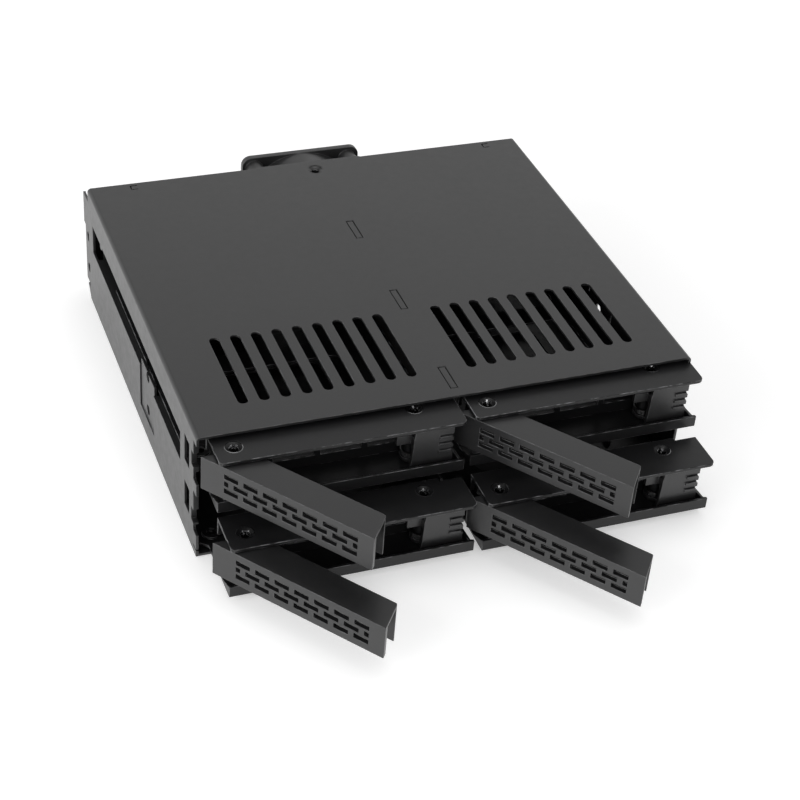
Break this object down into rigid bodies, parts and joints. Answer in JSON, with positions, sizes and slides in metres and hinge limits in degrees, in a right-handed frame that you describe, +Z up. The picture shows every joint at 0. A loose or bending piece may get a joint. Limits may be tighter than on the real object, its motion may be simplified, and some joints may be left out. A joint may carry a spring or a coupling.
{
  "type": "hot swap drive cage",
  "caption": "Low, wide drive cage of black sheet metal with pull-out drive trays in two columns, each tray with a swinging slotted handle and a rocking latch, and a small fan at the rear",
  "frame": {"origin": "middle of the shell's bottom, half way between its front and rear edges", "axes": "+X to the right seen from the front, +Y from the front to the rear, +Z up"},
  "size_m": [0.1468, 0.2028, 0.0413],
  "materials": {
    "black_sheet": "satin",
    "tray_sheet": "satin",
    "handle_black": "satin",
    "black_screw": "gloss",
    "plated_steel": "satin",
    "spring_wire": "gloss",
    "circuit_board": "satin",
    "black_plastic": "matte",
    "fan_plastic": "satin"
  },
  "bodies": {
    "housing": {"housing_shell": "black_sheet", "bottom_plate": "black_sheet", "centre_divider": "black_sheet", "rear_panel": "black_sheet", "case_screws": "black_screw", "backplane_board": "circuit_board", "drive_connectors": "black_plastic", "data_ports": "black_plastic", "power_inlets": "black_plastic", "backplane_standoffs": "plated_steel", "backplane_screws": "plated_steel", "fan_frame": "fan_plastic", "fan_stator": "fan_plastic", "fan_screws": "black_screw"},
    "fan_rotor": {"fan_rotor": "fan_plastic"},
    "tray_upper_left": {"tray_pan_upper_left": "tray_sheet", "tray_bracket_upper_left": "tray_sheet", "tray_screws_upper_left": "black_screw", "handle_pin_upper_left": "plated_steel", "latch_pin_upper_left": "plated_steel", "handle_spring_upper_left": "spring_wire", "latch_spring_upper_left": "spring_wire"},
    "handle_upper_left": {"handle_upper_left": "handle_black"},
    "latch_upper_left": {"latch_upper_left": "handle_black"},
    "tray_upper_right": {"tray_pan_upper_right": "tray_sheet", "tray_bracket_upper_right": "tray_sheet", "tray_screws_upper_right": "black_screw", "handle_pin_upper_right": "plated_steel", "latch_pin_upper_right": "plated_steel", "handle_spring_upper_right": "spring_wire", "latch_spring_upper_right": "spring_wire"},
    "handle_upper_right": {"handle_upper_right": "handle_black"},
    "latch_upper_right": {"latch_upper_right": "handle_black"},
    "tray_lower_left": {"tray_pan_lower_left": "tray_sheet", "tray_bracket_lower_left": "tray_sheet", "tray_screws_lower_left": "black_screw", "handle_pin_lower_left": "plated_steel", "latch_pin_lower_left": "plated_steel", "handle_spring_lower_left": "spring_wire", "latch_spring_lower_left": "spring_wire"},
    "handle_lower_left": {"handle_lower_left": "handle_black"},
    "latch_lower_left": {"latch_lower_left": "handle_black"},
    "tray_lower_right": {"tray_pan_lower_right": "tray_sheet", "tray_bracket_lower_right": "tray_sheet", "tray_screws_lower_right": "black_screw", "handle_pin_lower_right": "plated_steel", "latch_pin_lower_right": "plated_steel", "handle_spring_lower_right": "spring_wire", "latch_spring_lower_right": "spring_wire"},
    "handle_lower_right": {"handle_lower_right": "handle_black"},
    "latch_lower_right": {"latch_lower_right": "handle_black"}
  },
  "joints": [
    {"name": "fan_spin", "type": "hinge", "parent": "housing", "child": "fan_rotor", "pos_m": [0, 0.0708, 0.0205], "axis": [0, 1, 0], "continuous": true},
    {"name": "slide_upper_left", "type": "slide", "parent": "housing", "child": "tray_upper_left", "axis": [0, -1, 0], "range_m": [-0.0064, 0.0804]},
    {"name": "swing_upper_left", "type": "hinge", "parent": "tray_upper_left", "child": "handle_upper_left", "pos_m": [-0.0638, -0.0692, 0.0327], "axis": [0, 0, 1], "range_deg": [0, 52.4], "stiffness_Nm_per_rad": 0.02},
    {"name": "press_upper_left", "type": "hinge", "parent": "tray_upper_left", "child": "latch_upper_left", "pos_m": [-0.0118, -0.0656, 0.0303], "axis": [0, 0, 1], "range_deg": [0, 10], "stiffness_Nm_per_rad": 0.02},
    {"name": "slide_upper_right", "type": "slide", "parent": "housing", "child": "tray_upper_right", "axis": [0, -1, 0], "range_m": [-0.0054, 0.0814]},
    {"name": "swing_upper_right", "type": "hinge", "parent": "tray_upper_right", "child": "handle_upper_right", "pos_m": [0.0088, -0.0682, 0.0327], "axis": [0, 0, 1], "range_deg": [0, 52.4], "stiffness_Nm_per_rad": 0.02},
    {"name": "press_upper_right", "type": "hinge", "parent": "tray_upper_right", "child": "latch_upper_right", "pos_m": [0.0608, -0.0646, 0.0303], "axis": [0, 0, 1], "range_deg": [0, 10], "stiffness_Nm_per_rad": 0.02},
    {"name": "slide_lower_left", "type": "slide", "parent": "housing", "child": "tray_lower_left", "axis": [0, -1, 0], "range_m": [-0.0186, 0.0682]},
    {"name": "swing_lower_left", "type": "hinge", "parent": "tray_lower_left", "child": "handle_lower_left", "pos_m": [-0.0638, -0.0814, 0.0132], "axis": [0, 0, 1], "range_deg": [0, 52.4], "stiffness_Nm_per_rad": 0.02},
    {"name": "press_lower_left", "type": "hinge", "parent": "tray_lower_left", "child": "latch_lower_left", "pos_m": [-0.0118, -0.0778, 0.0108], "axis": [0, 0, 1], "range_deg": [0, 10], "stiffness_Nm_per_rad": 0.02},
    {"name": "slide_lower_right", "type": "slide", "parent": "housing", "child": "tray_lower_right", "axis": [0, -1, 0], "range_m": [-0.0194, 0.0674]},
    {"name": "swing_lower_right", "type": "hinge", "parent": "tray_lower_right", "child": "handle_lower_right", "pos_m": [0.0088, -0.0822, 0.0132], "axis": [0, 0, 1], "range_deg": [0, 52.4], "stiffness_Nm_per_rad": 0.02},
    {"name": "press_lower_right", "type": "hinge", "parent": "tray_lower_right", "child": "latch_lower_right", "pos_m": [0.0608, -0.0786, 0.0108], "axis": [0, 0, 1], "range_deg": [0, 10], "stiffness_Nm_per_rad": 0.02}
  ]
}
